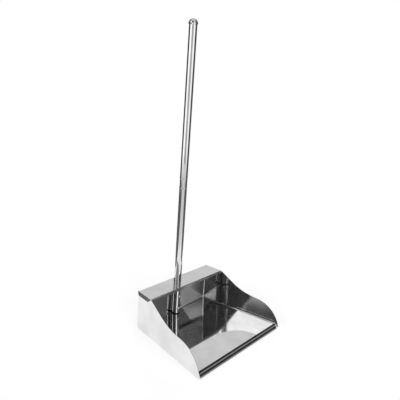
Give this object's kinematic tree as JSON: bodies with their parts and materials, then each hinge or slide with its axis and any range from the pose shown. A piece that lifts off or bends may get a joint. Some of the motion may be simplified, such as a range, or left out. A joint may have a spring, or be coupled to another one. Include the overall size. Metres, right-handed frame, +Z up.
{
  "type": "lobby dustpan",
  "caption": "Upright lobby dustpan of folded polished steel: hooded pan with S-curved side walls, rubber lip, and a straight tube handle that screws together at its middle.",
  "frame": {"origin": "on the ground, under the middle of the whole object's box", "axes": "+Z up; the lip faces -Y and the back sheet +Y; +X to the right for a viewer in front of the back, looking along +Y"},
  "size_m": [0.338, 0.2758, 0.8315],
  "materials": {
    "polished_steel": "mirror-polished stainless sheet with faint wiping marks",
    "polished_tube": "mirror-polished stainless tube",
    "plated_steel": "bright plated fasteners",
    "black_rubber": "black rubber, semi-matt",
    "black_plastic": "black moulded plastic"
  },
  "bodies": {
    "pan": {"pan_tray": "polished_steel", "left_side_wall": "polished_steel", "right_side_wall": "polished_steel", "hood_cover": "polished_steel", "rubber_lip": "black_rubber", "lower_tube": "polished_tube", "foot_plug": "black_plastic", "lower_socket": "plated_steel", "handle_bolts": "plated_steel", "bolt_washers": "plated_steel", "bolt_nuts": "plated_steel"},
    "collar": {"joint_collar": "polished_tube"},
    "upper_handle": {"upper_tube": "polished_tube", "upper_socket": "plated_steel", "joint_stud": "plated_steel", "end_knob": "polished_tube"}
  },
  "joints": [
    {"name": "collar_lift", "type": "slide", "parent": "pan", "child": "collar", "axis": [0, 0, 1], "range_m": [0, 0.02]},
    {"name": "handle_unscrew", "type": "hinge", "parent": "collar", "child": "upper_handle", "pos_m": [0, 0.11825, 0.3905], "axis": [0, 0, 1], "range_deg": [0, 3600]}
  ],
  "couplings": [
    {"joint": "collar_lift", "follows": "handle_unscrew", "m_per_rad": 0.000318}
  ]
}
